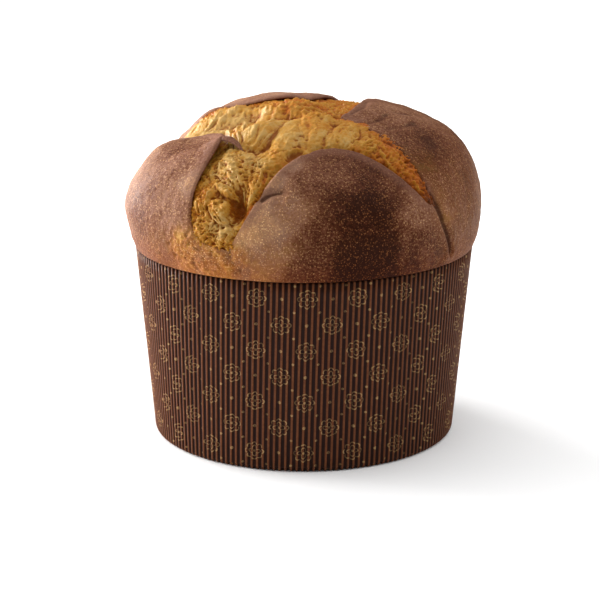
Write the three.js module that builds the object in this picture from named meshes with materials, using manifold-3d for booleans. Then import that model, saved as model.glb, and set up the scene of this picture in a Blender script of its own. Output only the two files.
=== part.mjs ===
// A panettone, baked and left standing in its fluted paper mould.
// Two solids: the loaf, a tall bread whose cross-cut crust has burst open into four
// lobes with the yellow crumb swelling up between them, and the paper mould round it.
// Millimetres, +Z up, origin at the centre of the flat underside of the mould,
// -Y is the front, where the widest of the four openings lies a little to the left.

import * as THREE from 'three';
import { mergeVertices } from 'three/addons/utils/BufferGeometryUtils.js';
import Module from 'manifold-3d';

const TAU = 2 * Math.PI;
const RAD = Math.PI / 180;

// Paper mould.
const MOULD_HEIGHT = 96.5;
const MOULD_RIM_R = 85;          // crest of the ribs at the rim
const MOULD_FOOT_R = 76.4;       // the same crest line carried down to the table
const MOULD_CORNER = 2.4;         // rounding where the wall turns into the bottom
const MOULD_WALL = 1.4;          // crest of a rib to the smooth inner face
const MOULD_BOTTOM = 1.2;
const RIB_COUNT = 190;
const RIB_DEPTH = 0.7;
const RIB_HALF = 0.3;            // share of the pitch from a crest to the flat valley
const RIB_FADE_R = 70;           // ribs have died away on the underside here
const LEAN_TURN = -0.03;         // radians that the ribs shift on their way down
const LEAN_WAVE = 0.106;

// Loaf: the smooth dome that the crust and the crumb depart from.
const GAP = 0.3;                 // air between bread and paper
const LEDGE_R = 85.3;            // where the crust comes down on the rim of the paper
const LEDGE_Z = 97.4;
const LEDGE_ROLL = 0.6;          // rounding of the crust's lower border
const BELLY_R = 87.6;
const BELLY_Z = 112.5;
const TOP_Z = 161.5;
const ROUND_R = 2.25;            // exponents of the dome's rounded outline
const ROUND_Z = 2;
const BELLY_SHARE = 0.87;        // share of the way from the top to the rim at the belly
const REACH = 129;               // chart radius of the rim
const TILT = 0.075;              // the loaf rose higher at the back right
const TILT_AZ = 65 * RAD;
const EYE = [4, -14];            // chart point where the cuts cross

// The four cuts of the cross: azimuth, chart reach, half angle and sharpness of the
// opening on the side before and on the side after it.
const CUTS = [
  { az: 239 * RAD, reach: 100, before: 20.5 * RAD, after: 9.5 * RAD, sharpBefore: 4.0, sharpAfter: 2.6 },
  { az: 324.5 * RAD, reach: 102, before: 8.5 * RAD, after: 4.0 * RAD, sharpBefore: 1.8, sharpAfter: 1.15 },
  { az: 72 * RAD, reach: 96, before: 9.0 * RAD, after: 7.0 * RAD, sharpBefore: 2.2, sharpAfter: 2.4 },
  { az: 164 * RAD, reach: 92, before: 4.0 * RAD, after: 8.0 * RAD, sharpBefore: 1.6, sharpAfter: 2.6 },
];
// Distance from the eye to the tip of the lobe after each cut, at its start and end.
const LOBE_TIPS = [[24, 24], [0, 6], [13, 40], [27, 24]];

// Height of the crust over the dome, by azimuth in degrees round the eye.
const SWELL = [[17, 6], [50, 5], [72, 3], [95, 4.5], [112, 6.5], [125, 6.5], [143, 5.5], [155, 3],
  [164, -1], [175, 0], [187, 1], [200, 2.5], [226, 0.5], [246, 1.5], [285, 3.5], [312, 3], [335, 5]];
const SWELL_EYE = 4;             // the same in the middle, reached from this radius inward
const SWELL_EYE_R = 18;
const SWELL_END = [0.45, 0.92];  // shares of the way to the rim over which it dies away
const BULGE_END = [0.8, 1];
// Broad bulges, and one dip, on top of that: chart centre, width and height.
const BULGES = [
  { at: [-78, -22], wide: 32, high: 5 },
  { at: [-62, 26], wide: 24, high: -3.5 },
  { at: [66, 20], wide: 36, high: 1.6 },
];
// How far the torn edge of the crust curls up.
const LIP = [[17, 0.5], [60, 0.5], [100, 1], [118, 2.4], [132, 1], [160, 0.5], [185, 1.5], [203, 3],
  [215, 1.5], [224, 0.3], [240, 0], [247, 0.6], [251, 2.2], [256, 1], [310, 0.5], [335, 0.7]];
const LIP_WIDTH = 6;
// How far the crumb draws back under the edge.
const UNDERCUT = [[17, 0.8], [100, 1], [118, 2.2], [140, 1], [190, 2.5], [203, 4], [215, 2.4],
  [226, 0.6], [240, 0.5], [250, 1.6], [285, 1.6], [315, 0.8]];
// How far the crumb lies below the crust at the edge.
const STEP = [[17, 2], [60, 3], [90, 3], [118, 5], [140, 3.6], [165, 3.4], [190, 5], [203, 7],
  [215, 6], [223, 4], [232, 1.8], [240, 2.2], [247, 6], [262, 6], [290, 5.5], [312, 4], [325, 2.2]];
const CRUST = 2.2;               // thickness of the crust at its torn edge
const CRUST_ROOT = 5.5;          // and further in, where it runs into the crumb
const CRUST_GROWTH = 9;          // on this way in from the edge
const SINK = 3.2;                // depth of the crumb under closed crust
const CLOSE_WIDTH = 4;           // run of the crumb from open height to that depth
const CRUMB_BULGE = 1.2;         // the crumb swells up again away from the edge
const BULGE_WIDTH = 11;

// Folds of the crumb: centre in the chart, half length, half width, turn, height.
const FOLDS = [
  { at: [-15, -18], long: 17, wide: 9, turn: 52 * RAD, high: 5.0 },
  { at: [-4, -27], long: 15, wide: 7.5, turn: 45 * RAD, high: 3.6 },
  { at: [4, -24], long: 12, wide: 7, turn: 75 * RAD, high: 3.4 },
  { at: [12, -31], long: 8, wide: 6, turn: 60 * RAD, high: 3.0 },
  { at: [21, -36], long: 9, wide: 6, turn: 40 * RAD, high: 2.4 },
  { at: [-9, -43], long: 12, wide: 8, turn: 20 * RAD, high: 3.0 },
  { at: [-26, -45], long: 12, wide: 9, turn: 60 * RAD, high: 3.2 },
  { at: [-35, -3], long: 14, wide: 9, turn: 20 * RAD, high: 3.0 },
  { at: [-2, -4], long: 13, wide: 8, turn: 5 * RAD, high: 3.2 },
  { at: [-40, -72], long: 11, wide: 7.5, turn: 70 * RAD, high: 4.6 },
  { at: [-45, -91], long: 8, wide: 5, turn: 60 * RAD, high: 2.4 },
];
// The hollow torn into the crumb of the front left opening.
const HOLLOW = { at: [-32, -74], long: 17, wide: 8, turn: 72 * RAD, deep: 9 };

// Grids of the three overlapping bodies that join into the loaf.
const CRUST_COLUMNS = 120;
const OUTER_ROWS = 7;
const NOSE_ROWS = 4;
const INNER_ROWS = 4;
const ROW_SPREAD = 1.25;         // rows of the crust lie closer near the torn edge
const CORE_COLUMNS = 64;
const CORE_ROWS = 10;
const CORE_DEPTH = 24;           // top of the core under the dome where the loaf is open
const CORE_RISE = [0.72, 0.9];   // shares of the cushion's radius where it comes up again
const CUSHION_CELL = 4;
const CUSHION_AT = [0, -14];
const CUSHION_R = 108;
const WALK_STEPS = 3000;

const clamp = (x, a, b) => Math.min(b, Math.max(a, x));
const wrap = (a) => a - TAU * Math.round(a / TAU);
const turn = (a) => ((a % TAU) + TAU) % TAU;

// 0 below a, 1 above b, an even S between.
function smooth(a, b, x) {
  const t = clamp((x - a) / (b - a), 0, 1);
  return t * t * (3 - 2 * t);
}

// A value read smoothly from a table of (azimuth in degrees, value) round the eye.
function byAzimuth(table, phi) {
  const d = turn(phi - table[0][0] * RAD) / RAD + table[0][0];
  let i = table.length - 1;
  while (table[i][0] > d) i -= 1;
  const next = i + 1 < table.length ? table[i + 1] : [table[0][0] + 360, table[0][1]];
  return table[i][1] + (next[1] - table[i][1]) * smooth(table[i][0], next[0], d);
}

// Radius, height and outward normal of the dome at share s of the way to its rim.
function dome(s) {
  const rise = TOP_Z - BELLY_Z;
  let r, z, nr, nz;
  if (s <= BELLY_SHARE) {
    const t = (s / BELLY_SHARE) * (Math.PI / 2);
    r = BELLY_R * Math.sin(t) ** (2 / ROUND_R);
    z = BELLY_Z + rise * Math.abs(Math.cos(t)) ** (2 / ROUND_Z);
    nr = (ROUND_R * (r / BELLY_R) ** (ROUND_R - 1)) / BELLY_R;
    nz = (ROUND_Z * Math.max(0, (z - BELLY_Z) / rise) ** (ROUND_Z - 1)) / rise;
  } else {
    const k = Math.min(1, (s - BELLY_SHARE) / (1 - BELLY_SHARE));
    r = BELLY_R - (BELLY_R - LEDGE_R) * k * k;
    z = BELLY_Z - (BELLY_Z - LEDGE_Z) * k;
    nr = BELLY_Z - LEDGE_Z;
    nz = -2 * (BELLY_R - LEDGE_R) * k;
  }
  const m = Math.hypot(nr, nz);
  return { r, z, nr: nr / m, nz: nz / m };
}

// Chart point (polar map of the dome, pole in the middle) and height over it to x, y, z.
function place([u, v], off) {
  const s = Math.hypot(u, v) / REACH;
  const th = Math.atan2(v, u);
  const d = dome(s);
  const r = d.r + d.nr * off;
  const x = r * Math.cos(th);
  const y = r * Math.sin(th);
  const lift = TILT * (x * Math.cos(TILT_AZ) + y * Math.sin(TILT_AZ)) * clamp(1 - s * s, 0, 1);
  return [x, y, d.z + d.nz * off + lift];
}

// Distance from the eye to the torn edge of the crust: lobe tips joined by deep bays.
function edgeRadius(phi) {
  const k = CUTS.findIndex((c, i) => {
    const span = turn(CUTS[(i + 1) % CUTS.length].az - c.az);
    return turn(phi - c.az) < span;
  });
  const share = turn(phi - CUTS[k].az) / turn(CUTS[(k + 1) % CUTS.length].az - CUTS[k].az);
  const [start, end] = LOBE_TIPS[k];
  const tip = start + (end - start) * smooth(0, 1, share);
  return CUTS.reduce((rho, c) => {
    const d = wrap(phi - c.az);
    const half = d < 0 ? c.before : c.after;
    const sharp = d < 0 ? c.sharpBefore : c.sharpAfter;
    return rho + (c.reach - tip) / (1 + (Math.abs(d) / half) ** sharp);
  }, tip);
}

const fromEye = (phi, rho) => [EYE[0] + rho * Math.cos(phi), EYE[1] + rho * Math.sin(phi)];

// Fine walk round the edge: chart point and length so far.
function walkEdge() {
  const path = [];
  let length = 0;
  for (let i = 0; i <= WALK_STEPS; i += 1) {
    const phi = CUTS[0].az + (TAU * i) / WALK_STEPS;
    const q = fromEye(phi, edgeRadius(phi));
    if (i > 0) length += Math.hypot(q[0] - path[i - 1].q[0], q[1] - path[i - 1].q[1]);
    path.push({ q, phi, length });
  }
  return path;
}
const EDGE = walkEdge();
const EDGE_LENGTH = EDGE[EDGE.length - 1].length;

// Edge point at length a along the walk.
function onEdge(a) {
  const want = ((a % EDGE_LENGTH) + EDGE_LENGTH) % EDGE_LENGTH;
  let lo = 0;
  let hi = EDGE.length - 1;
  while (hi - lo > 1) {
    const mid = (lo + hi) >> 1;
    if (EDGE[mid].length <= want) lo = mid;
    else hi = mid;
  }
  const t = (want - EDGE[lo].length) / (EDGE[hi].length - EDGE[lo].length);
  const mix = (p, r) => p + (r - p) * t;
  return {
    q: [mix(EDGE[lo].q[0], EDGE[hi].q[0]), mix(EDGE[lo].q[1], EDGE[hi].q[1])],
    phi: mix(EDGE[lo].phi, EDGE[hi].phi),
  };
}

// Rim azimuth that a column of the crust grid runs out to: the four cut ends keep
// theirs, between them it goes by length along the edge.
function rimAzimuth(a) {
  const ends = CUTS.map((c) => {
    const q = fromEye(c.az, c.reach);
    const at = EDGE.find((e) => e.phi - CUTS[0].az >= turn(c.az - CUTS[0].az)).length;
    return { at, az: Math.atan2(q[1], q[0]) };
  });
  ends.push({ at: EDGE_LENGTH, az: ends[0].az });
  let az = ends[0].az;
  for (let k = 0; k + 1 < ends.length; k += 1) {
    const span = turn(ends[k + 1].az - ends[k].az);
    az += span * clamp((a - ends[k].at) / (ends[k + 1].at - ends[k].at), 0, 1);
  }
  return az;
}

// Distance from a chart point to the edge, positive on the crust side.
function edgeDistance(q) {
  const w = [q[0] - EYE[0], q[1] - EYE[1]];
  const near = EDGE.reduce((best, e) => Math.min(best, Math.hypot(q[0] - e.q[0], q[1] - e.q[1])), Infinity);
  return Math.hypot(w[0], w[1]) > edgeRadius(Math.atan2(w[1], w[0])) ? near : -near;
}

// Height of the swollen crust over the dome, running out above the belly.
function swell(q) {
  const w = [q[0] - EYE[0], q[1] - EYE[1]];
  const k = smooth(0, SWELL_EYE_R, Math.hypot(w[0], w[1]));
  const high = byAzimuth(SWELL, Math.atan2(w[1], w[0])) * k + SWELL_EYE * (1 - k);
  const bulge = BULGES.reduce((sum, b) => {
    const d = Math.hypot(q[0] - b.at[0], q[1] - b.at[1]) / b.wide;
    return sum + b.high * Math.exp(-d * d);
  }, 0);
  const s = Math.hypot(q[0], q[1]) / REACH;
  return high * (1 - smooth(...SWELL_END, s)) + bulge * (1 - smooth(...BULGE_END, s));
}

// 1 at the middle of a turned ellipse, 0 on its border and outside.
function mound(q, f) {
  const du = q[0] - f.at[0];
  const dv = q[1] - f.at[1];
  const a = (du * Math.cos(f.turn) + dv * Math.sin(f.turn)) / f.long;
  const b = (dv * Math.cos(f.turn) - du * Math.sin(f.turn)) / f.wide;
  return Math.sqrt(Math.max(0, 1 - a * a - b * b));
}

// Height of the crumb over the dome: folds in the opening, sunk under the closed crust.
function crumbHeight(q) {
  const w = [q[0] - EYE[0], q[1] - EYE[1]];
  const phi = Math.atan2(w[1], w[0]);
  const d = edgeDistance(q);
  const bulge = CRUMB_BULGE * (1 - Math.exp(Math.min(0, d) / BULGE_WIDTH));
  const step = byAzimuth(STEP, phi) * Math.exp(Math.min(0, d) / BULGE_WIDTH);
  const fold = Math.max(...FOLDS.map((f) => f.high * mound(q, f)));
  const hollow = HOLLOW.deep * mound(q, HOLLOW) ** 2;
  const open = bulge - step - CRUMB_BULGE * 2 + (fold - hollow) * smooth(1, -CLOSE_WIDTH, d);
  const under = byAzimuth(UNDERCUT, phi);
  const closed = smooth(under, under + CLOSE_WIDTH, d);
  return swell(q) + open * (1 - closed) - SINK * closed;
}

// Closed surface through rings of points; the first and the last are single points.
function loft(rings) {
  const pos = [];
  const tri = [];
  const starts = rings.map((ring) => {
    const at = pos.length / 3;
    ring.forEach((p) => pos.push(...p));
    return at;
  });
  for (let k = 0; k + 1 < rings.length; k += 1) {
    stitch(tri, starts[k], rings[k].length, starts[k + 1], rings[k + 1].length);
  }
  return { pos, tri };
}

// Band of triangles between a ring of n points from a and a ring of m points from b,
// both evenly numbered round the same axis.
function stitch(tri, a, n, b, m) {
  let i = 0;
  let j = 0;
  while (i < n || j < m) {
    const stepA = j >= m || (i < n && (i + 1) * m <= (j + 1) * n);
    const p = a + (i % n);
    const q = b + (j % m);
    if (stepA) {
      if (n > 1) tri.push(p, q, a + ((i + 1) % n));
      i += 1;
    } else {
      if (m > 1) tri.push(p, q, b + ((j + 1) % m));
      j += 1;
    }
  }
}

function toGeometry({ pos, tri }) {
  const geometry = new THREE.BufferGeometry();
  geometry.setAttribute('position', new THREE.Float32BufferAttribute(pos, 3));
  geometry.setIndex(tri);
  return geometry;
}

// Crust: a closed shell from the torn edge, thin and rounded there, out and down to
// the ledge that rests over the rim of the paper.
function crustShell() {
  const columns = [];
  for (let c = 0; c < CRUST_COLUMNS; c += 1) {
    const a = (EDGE_LENGTH * c) / CRUST_COLUMNS;
    const { q, phi } = onEdge(a);
    const ahead = onEdge(a + 0.5).q;
    const back = onEdge(a - 0.5).q;
    const run = Math.hypot(ahead[0] - back[0], ahead[1] - back[1]);
    const out = [(ahead[1] - back[1]) / run, (back[0] - ahead[0]) / run];
    const az = rimAzimuth(a);
    const rim = [REACH * Math.cos(az), REACH * Math.sin(az)];
    columns.push(crustColumn(q, out, phi, rim));
  }
  const rows = columns[0].length;
  const rings = [];
  for (let k = 0; k <= rows; k += 1) rings.push(columns.map((col) => col[k % rows]));
  return closeLoop(rings);
}

// One closed section of the crust shell: outer face, ledge, inner face, nose. In the
// chart it follows a cubic that leaves the edge square on and meets the rim square on.
function crustColumn(q, out, phi, rim) {
  const span = Math.hypot(rim[0] - q[0], rim[1] - q[1]);
  const edgePull = Math.min(0.3 * span, 14);
  const rimPull = 1 - Math.min(0.35 * span, 30) / REACH;
  const start = [q[0] + (out[0] * CRUST) / 2, q[1] + (out[1] * CRUST) / 2];
  const c1 = [start[0] + out[0] * edgePull, start[1] + out[1] * edgePull];
  const c2 = [rim[0] * rimPull, rim[1] * rimPull];
  const along = (t) => [0, 1].map((i) => start[i] * (1 - t) ** 3 + 3 * c1[i] * t * (1 - t) ** 2
    + 3 * c2[i] * t * t * (1 - t) + rim[i] * t ** 3);
  const lip = byAzimuth(LIP, phi);
  const top = (p) => {
    const d = Math.hypot(p[0] - q[0], p[1] - q[1]);
    return swell(p) + lip * Math.exp(-((d / LIP_WIDTH) ** 2));
  };
  const under = byAzimuth(UNDERCUT, phi);
  const points = [];
  for (let k = 0; k <= OUTER_ROWS; k += 1) {
    const p = along((k / OUTER_ROWS) ** ROW_SPREAD);
    points.push(place(p, top(p)));
  }
  const ledge = (r) => [(rim[0] / REACH) * r, (rim[1] / REACH) * r, MOULD_HEIGHT + GAP];
  points.push(ledge(LEDGE_R - LEDGE_ROLL));
  points.push(ledge(LEDGE_R - CRUST_ROOT / 2));
  for (let k = INNER_ROWS; k >= 1; k -= 1) {
    const p = along((k / INNER_ROWS) ** ROW_SPREAD);
    const d = Math.hypot(p[0] - q[0], p[1] - q[1]);
    const thick = CRUST + (CRUST_ROOT - CRUST) * smooth(0, CRUST_GROWTH, d);
    points.push(place(p, top(p) - thick));
  }
  const deep = [q[0] + out[0] * (under + CRUST), q[1] + out[1] * (under + CRUST)];
  points.push(place(deep, top(deep) - CRUST));
  for (let k = NOSE_ROWS - 1; k >= 1; k -= 1) {
    const b = Math.PI / 2 + (Math.PI * k) / NOSE_ROWS;
    const reach = (CRUST / 2) * (1 + Math.cos(b));
    const p = [q[0] + out[0] * reach, q[1] + out[1] * reach];
    points.push(place(p, top(start) + (CRUST / 2) * (Math.sin(b) - 1)));
  }
  return points;
}

// Triangles of a tube of rings whose last ring is the first one again.
function closeLoop(rings) {
  const n = rings[0].length;
  const rows = rings.length - 1;
  const pos = rings.slice(0, rows).flat(2);
  const tri = [];
  for (let k = 0; k < rows; k += 1) stitch(tri, k * n, n, ((k + 1) % rows) * n, n);
  return { pos, tri };
}

const wallRadius = (z) => MOULD_FOOT_R + ((MOULD_RIM_R - MOULD_FOOT_R) * z) / MOULD_HEIGHT;

// Rounded foot of a tapering wall that stands `inset` inside the crest line:
// points (r, z) from the wall down to the flat bottom at height `floor`.
function footProfile(inset, floor, radius, steps) {
  const taper = Math.atan2(MOULD_RIM_R - MOULD_FOOT_R, MOULD_HEIGHT);
  const cz = floor + radius;
  const cr = wallRadius(cz) - (inset + radius) / Math.cos(taper);
  const points = [];
  for (let k = 0; k <= steps; k += 1) {
    const b = -taper - ((Math.PI / 2 - taper) * k) / steps;
    points.push([cr + radius * Math.cos(b), cz + radius * Math.sin(b)]);
  }
  return points;
}

const circle = (n, r, z) => Array.from({ length: n }, (_, i) => {
  const a = CUTS[0].az + (TAU * i) / n;
  return [r * Math.cos(a), r * Math.sin(a), z];
});

// Core: the hidden inside of the loaf, cast by the mould below. Its top lies just under
// the closed crust near the rim and drops deep under the opening.
function coreBody() {
  const rings = [[place([0, 0], -CORE_DEPTH)]];
  for (let k = 1; k <= CORE_ROWS; k += 1) {
    const share = k / CORE_ROWS;
    rings.push(Array.from({ length: CORE_COLUMNS }, (_, c) => {
      const a = (TAU * c) / CORE_COLUMNS;
      const q = [REACH * share * Math.cos(a), REACH * share * Math.sin(a)];
      const out = Math.hypot(q[0] - CUSHION_AT[0], q[1] - CUSHION_AT[1]) / CUSHION_R;
      return place(q, -SINK - (CORE_DEPTH - SINK) * (1 - smooth(...CORE_RISE, out)));
    }));
  }
  const inset = MOULD_WALL + GAP;
  rings.push(circle(CORE_COLUMNS, wallRadius(MOULD_HEIGHT) - inset, MOULD_HEIGHT - GAP));
  footProfile(inset, MOULD_BOTTOM + GAP, MOULD_CORNER - MOULD_BOTTOM, 2).forEach(([r, z]) => {
    rings.push(circle(CORE_COLUMNS, r, z));
  });
  rings.push([[0, 0, MOULD_BOTTOM + GAP]]);
  return loft(rings);
}

// Cushion of crumb: a round slab of square cells laid over the dome, folded on top,
// reaching down into the core.
function crumbCushion() {
  const half = Math.floor(CUSHION_R / CUSHION_CELL);
  const inside = (i, j) => Math.hypot(i + 0.5, j + 0.5) * CUSHION_CELL < CUSHION_R;
  const pos = [];
  const tri = [];
  const seen = new Map();
  const corner = (i, j, level) => {
    const key = `${i},${j},${level}`;
    if (!seen.has(key)) {
      const q = [CUSHION_AT[0] + i * CUSHION_CELL, CUSHION_AT[1] + j * CUSHION_CELL];
      seen.set(key, pos.length / 3);
      pos.push(...place(q, level === 'top' ? crumbHeight(q) : -CORE_DEPTH - CUSHION_CELL));
    }
    return seen.get(key);
  };
  const quad = (a, b, c, d) => tri.push(a, b, c, a, c, d);
  for (let i = -half - 1; i <= half; i += 1) {
    for (let j = -half - 1; j <= half; j += 1) {
      if (!inside(i, j)) continue;
      const loop = [[i, j], [i + 1, j], [i + 1, j + 1], [i, j + 1]];
      const beside = [[i, j - 1], [i + 1, j], [i, j + 1], [i - 1, j]];
      quad(...loop.map(([x, y]) => corner(x, y, 'top')));
      quad(...loop.slice().reverse().map(([x, y]) => corner(x, y, 'low')));
      beside.forEach(([x, y], k) => {
        if (inside(x, y)) return;
        const [p, q] = [loop[k], loop[(k + 1) % 4]];
        quad(corner(...p, 'low'), corner(...q, 'low'), corner(...q, 'top'), corner(...p, 'top'));
      });
    }
  }
  return { pos, tri };
}

// The three bodies joined. Where they close over a small hollow it is filled, by keeping
// only the outermost of the joined surfaces.
function loafGeometry(wasm) {
  const solid = (mesh) => {
    const merged = mergeVertices(toGeometry(mesh));
    return new wasm.Manifold(new wasm.Mesh({
      numProp: 3,
      vertProperties: new Float32Array(merged.attributes.position.array),
      triVerts: new Uint32Array(merged.index.array),
    }));
  };
  const joined = solid(coreBody()).add(solid(crumbCushion())).add(solid(crustShell()));
  const [outermost] = joined.decompose().sort((a, b) => b.volume() - a.volume());
  const mesh = outermost.getMesh();
  return toGeometry({ pos: Array.from(mesh.vertProperties), tri: Array.from(mesh.triVerts) });
}

// Azimuth of a rib line at height z: the ribs lean a little on their way down.
function ribAzimuth(base, z) {
  const fall = 1 - z / MOULD_HEIGHT;
  return base + fall * (LEAN_TURN + LEAN_WAVE * Math.cos(base));
}

// Ring of the fluted outer face: crests on the outline, valleys sunk along its normal.
function ribRing([r, z], slope) {
  const across = [0, RIB_HALF, 1 - RIB_HALF];
  return Array.from({ length: RIB_COUNT * across.length }, (_, i) => {
    const rib = Math.floor(i / across.length) + across[i % across.length];
    const a = ribAzimuth((TAU * rib) / RIB_COUNT, z);
    const dip = i % across.length === 0 ? 0 : RIB_DEPTH;
    const radius = r - dip * Math.cos(slope);
    return [radius * Math.cos(a), radius * Math.sin(a), z + dip * Math.sin(slope)];
  });
}

// Smooth ring with one point for every second rib.
function plainRing([r, z]) {
  return Array.from({ length: RIB_COUNT / 2 }, (_, i) => {
    const a = ribAzimuth((TAU * 2 * i) / RIB_COUNT, z);
    return [r * Math.cos(a), r * Math.sin(a), z];
  });
}

// Paper mould: ribs outside with narrow crests and flat valleys, smooth inside,
// the ribs bent round the foot and gone before the flat underside.
function mouldGeometry() {
  const inner = footProfile(MOULD_WALL, MOULD_BOTTOM, MOULD_CORNER - MOULD_BOTTOM, 2).reverse();
  const foot = footProfile(0, 0, MOULD_CORNER, 3);
  const quarter = Math.PI / 2;
  return toGeometry(loft([
    [[0, 0, MOULD_BOTTOM]],
    ...inner.map(plainRing),
    plainRing([wallRadius(MOULD_HEIGHT) - MOULD_WALL, MOULD_HEIGHT]),
    ribRing([MOULD_RIM_R, MOULD_HEIGHT], 0),
    ...foot.map((p, k) => ribRing(p, (quarter * k) / (foot.length - 1))),
    plainRing([RIB_FADE_R, 0]),
    [[0, 0, 0]],
  ]));
}

function named(name, geometry, material) {
  const mesh = new THREE.Mesh(geometry, material);
  mesh.name = name;
  return mesh;
}

const wasm = await Module();
wasm.setup();

const bread = new THREE.MeshStandardMaterial({ color: 0x6b4630, roughness: 0.8 });
const paper = new THREE.MeshStandardMaterial({ color: 0x5a3f2c, roughness: 0.85 });

const panettone = new THREE.Group();
panettone.name = 'panettone';
panettone.add(named('loaf', loafGeometry(wasm), bread));
panettone.add(named('paper_mould', mouldGeometry(), paper));

export default panettone;
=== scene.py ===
import bpy
import numpy as np
from math import atan2, cos, pi, radians, sin
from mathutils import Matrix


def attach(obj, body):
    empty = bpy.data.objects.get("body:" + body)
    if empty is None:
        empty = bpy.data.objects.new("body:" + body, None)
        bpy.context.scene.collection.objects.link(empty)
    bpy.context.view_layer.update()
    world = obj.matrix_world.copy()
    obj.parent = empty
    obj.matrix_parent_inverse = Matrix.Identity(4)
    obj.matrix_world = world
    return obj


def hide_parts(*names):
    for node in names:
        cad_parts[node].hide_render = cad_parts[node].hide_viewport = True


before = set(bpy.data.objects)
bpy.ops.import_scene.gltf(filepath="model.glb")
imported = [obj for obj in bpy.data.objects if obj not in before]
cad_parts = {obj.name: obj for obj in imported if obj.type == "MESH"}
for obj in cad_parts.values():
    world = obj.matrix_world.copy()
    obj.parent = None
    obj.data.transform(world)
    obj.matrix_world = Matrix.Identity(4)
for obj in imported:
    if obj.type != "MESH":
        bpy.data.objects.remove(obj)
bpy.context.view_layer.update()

# Crust
# The browned skin of the loaf: a leathery sheet of baked dough a few millimetres thick,
# domed over the cup, cut crosswise before baking and torn open by the rising dough into
# four lobes whose free edges curl up. All sizes are in millimetres until a mesh is made.
MM = 0.001
TAU = 2 * pi
LEDGE_R, LEDGE_Z = 85.3, 97.4        # lower border, over the rim of the paper
LEDGE_ROLL = 0.6
BELLY_R, BELLY_Z = 87.6, 112.5       # widest place
TOP_Z = 161.5
ROUND_R, ROUND_Z = 2.25, 2.0         # exponents of the dome's outline, n and m
BELLY_SHARE = 0.87                   # share of the way from top to rim that the belly is at
REACH = 129.0                        # radius of the chart, the flat map of the dome
TILT, TILT_AZ = 0.075, radians(65)   # slope of the tilted top, and where it is highest
EYE = np.array([4.0, -14.0])         # chart point where the cuts cross
# Cuts: azimuth, chart reach, half angle before and after, sharpness before and after.
CUTS = [
    (239.0, 100.0, 22.0, 7.8, 4.2, 2.1),
    (320.0, 75.0, 8.8, 7.5, 1.8, 1.56),
    (72.0, 96.0, 9.0, 7.0, 2.2, 2.4),
    (162.0, 94.0, 13.0, 6.5, 2.4, 2.6),
]
# Distance of each lobe's edge from the eye, just after its cut and just before the next.
LOBE_TIPS = [(22, 21), (-3, 14), (12, 19), (30, 30)]
# Height of the swollen crust over the dome, round the eye by azimuth.
SWELL = [(17, 6), (50, 5), (72, 2), (95, 4.5), (112, 6.5), (125, 6.5), (143, 4.5), (153, 0),
         (163, -4), (171, -1.5), (178, 0), (187, 0.3), (200, 2.5), (226, 0.5), (246, 1.5),
         (285, 3.5), (312, 3), (335, 5)]
SWELL_EYE, SWELL_EYE_R = 4.0, 18.0   # the same at the eye, and where the table takes over
# Shares of the way from the top to the rim over which the swell and the bulges die away.
SWELL_END, BULGE_END = (0.45, 0.92), (0.8, 1.0)
# Broad bulges and sunken places: chart centre, width, height.
BULGES = [((-78, -22), 32, 5.0), ((-62, 26), 24, -3.5), ((66, 20), 36, 1.6), ((60, -74), 17, 1.4),
          ((-60, -6), 12, 4.0), ((-39, 12), 12, 2.4), ((-62, 14), 9, -2.0)]
# Rise of the lip at the edge and depth of the gap under it, round the eye by azimuth.
LIP = [(10, 0.2), (60, 0.5), (100, 1), (118, 1.4), (132, 0.6), (146, 0.2), (153, -1.2),
       (160, -1.2), (172, 0.8), (185, 1.5), (203, 3), (215, 1.2), (222, 0.2), (229, -0.7),
       (241, -0.7), (246, 0.4), (251, 2.0), (258, 1), (300, 0.7), (314, 0.8), (322, -0.2),
       (332, -0.4), (345, -0.4)]
LIP_WIDTH = 6.0
UNDERCUT = [(10, 2), (60, 0.8), (100, 1), (118, 2.2), (140, 1), (190, 2.5), (203, 4), (215, 2),
            (222, 1), (229, 4), (241, 4), (246, 1), (252, 1.6), (285, 1.6), (312, 1.2),
            (324, 1.8), (345, 2.0)]
CRUST = 2.2                          # thickness of the skin at its torn edge
# Share, by azimuth, to which crust and crumb grow together without an edge.
GROWN = [(217, 0), (225, 1), (240, 1), (244, 0), (321, 0), (326, 0.6), (333, 0.6), (338, 0)]
# Outline below the crust, radius and height: its rolled border, then the body in the cup.
BELOW = [(LEDGE_R - LEDGE_ROLL / 3, LEDGE_Z - 0.4), (LEDGE_R - 0.9, LEDGE_Z - 0.55),
         (LEDGE_R - 1.8, LEDGE_Z - 0.55), (83.2, 94.0), (80.2, 60.0), (76.2, 14.0),
         (74.6, 4.5), (72.0, 1.8), (40.0, 1.6), (6.0, 1.6)]
CRUST_COLUMNS, OUTER_ROWS, NOSE_ROWS = 840, 98, 8
ROW_SPREAD = 1.15                    # rows lie closer near the torn edge
LIP_RUN, COLUMN_RUN = 0.5, 20        # lengths of edge either way that set their directions
EDGE_PULL, RIM_PULL = (0.3, 14), (0.35, 30)    # share of a column's span, and the most
INNER_SHARES = (1.0, 0.66, 0.33)     # rows of the underside, by share of its depth inward
RIM_CALM, RIM_CALM_FROM = 0.8, 0.93  # relief dies away so far, from there to the rim
FAR_IN, GROWN_IN = 60, 30            # distance from the edge as told to the material
LOW_Z = (112, 98)                    # heights between which the belly turns warmer
BAKE_CLOUDS = [(0.07, 0, 14), (0.05, 70, 5)]    # share, seed and size of uneven browning
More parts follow.
